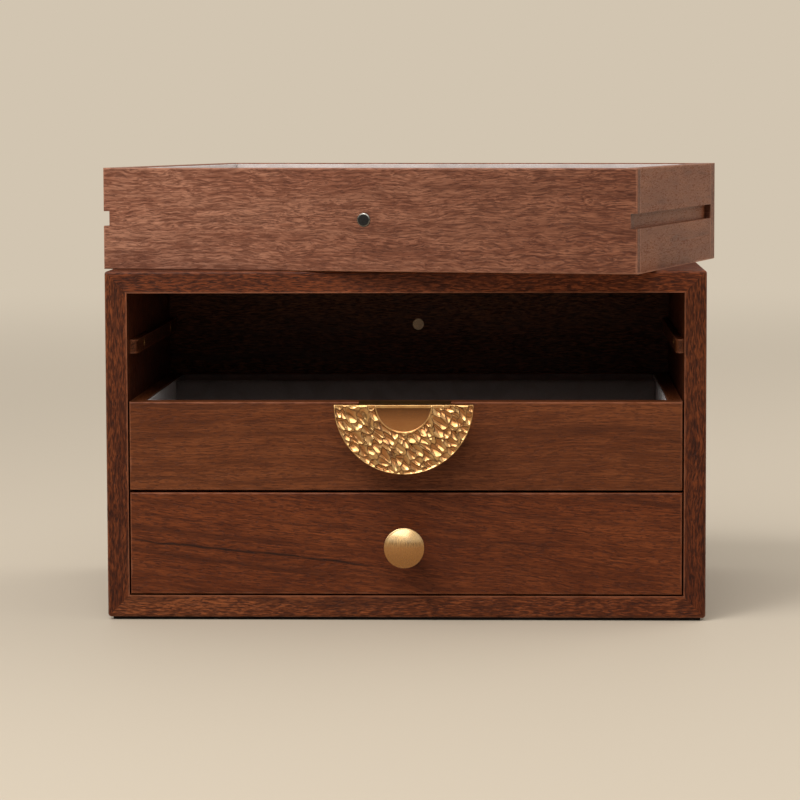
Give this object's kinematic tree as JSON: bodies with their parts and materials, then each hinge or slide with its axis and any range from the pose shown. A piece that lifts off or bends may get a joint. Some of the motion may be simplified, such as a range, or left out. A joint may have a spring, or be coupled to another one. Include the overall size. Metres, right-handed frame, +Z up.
{
  "type": "jewelry organizer box",
  "caption": "Wooden jewellery organiser box with velvet-lined drawers, a half-moon pull and a round knob; the top drawer is lifted out and stands on the cabinet.",
  "frame": {"origin": "middle of the felt base, on the surface that the box stands on", "axes": "+X to the right seen from the front, +Y to the back, +Z up; the drawer fronts face -Y"},
  "size_m": [0.3148, 0.2534, 0.2267],
  "materials": {
    "walnut": "satin oiled walnut",
    "plywood": "plain birch plywood",
    "beech": "bare beech",
    "velvet": "short pale velvet",
    "felt": "thin dark felt",
    "hammered_brass": "hammered and lacquered",
    "satin_brass": "finely brushed",
    "screw_brass": "plain",
    "steel": "nickel plated",
    "black_steel": "black, satin"
  },
  "bodies": {
    "cabinet": {"base_felt": "felt", "bottom_runner_left": "walnut", "bottom_runner_right": "walnut", "cabinet_back": "walnut", "cabinet_bottom": "walnut", "cabinet_left_side": "walnut", "cabinet_right_side": "walnut", "cabinet_top": "walnut", "catch_magnets": "steel", "middle_runner_left": "walnut", "middle_runner_right": "walnut", "mitre_splines": "beech", "runner_screws": "screw_brass", "top_runner_left": "walnut", "top_runner_right": "walnut"},
    "top_drawer": {"column_divider": "velvet", "ring_divider": "velvet", "ring_rolls": "velvet", "row_dividers": "velvet", "top_drawer_back": "walnut", "top_drawer_bottom": "plywood", "top_drawer_catch_disc": "black_steel", "top_drawer_dowels": "beech", "top_drawer_floor_pad": "velvet", "top_drawer_front": "walnut", "top_drawer_left_side": "walnut", "top_drawer_pull": "hammered_brass", "top_drawer_pull_screws": "screw_brass", "top_drawer_right_side": "walnut", "top_drawer_wall_lining": "velvet"},
    "middle_drawer": {"middle_drawer_back": "walnut", "middle_drawer_bottom": "plywood", "middle_drawer_catch_disc": "black_steel", "middle_drawer_cross_divider": "velvet", "middle_drawer_dowels": "beech", "middle_drawer_floor_pad": "velvet", "middle_drawer_front": "walnut", "middle_drawer_left_side": "walnut", "middle_drawer_pull": "hammered_brass", "middle_drawer_pull_screws": "screw_brass", "middle_drawer_right_side": "walnut", "middle_drawer_wall_lining": "velvet"},
    "bottom_drawer": {"bottom_drawer_back": "walnut", "bottom_drawer_bottom": "plywood", "bottom_drawer_catch_disc": "black_steel", "bottom_drawer_dowels": "beech", "bottom_drawer_floor_pad": "velvet", "bottom_drawer_front": "walnut", "bottom_drawer_knob": "satin_brass", "bottom_drawer_knob_screw": "steel", "bottom_drawer_left_side": "walnut", "bottom_drawer_right_side": "walnut", "bottom_drawer_wall_lining": "velvet"}
  },
  "joints": [
    {"name": "middle_drawer_slide", "type": "slide", "parent": "cabinet", "child": "middle_drawer", "axis": [0, -1, 0], "range_m": [0, 0.15]},
    {"name": "bottom_drawer_slide", "type": "slide", "parent": "cabinet", "child": "bottom_drawer", "axis": [0, -1, 0], "range_m": [0, 0.15]},
    {"name": "top_drawer_lift", "type": "slide", "parent": "cabinet", "child": "top_drawer", "axis": [0, 0, 1], "range_m": [0, 0.1]}
  ]
}
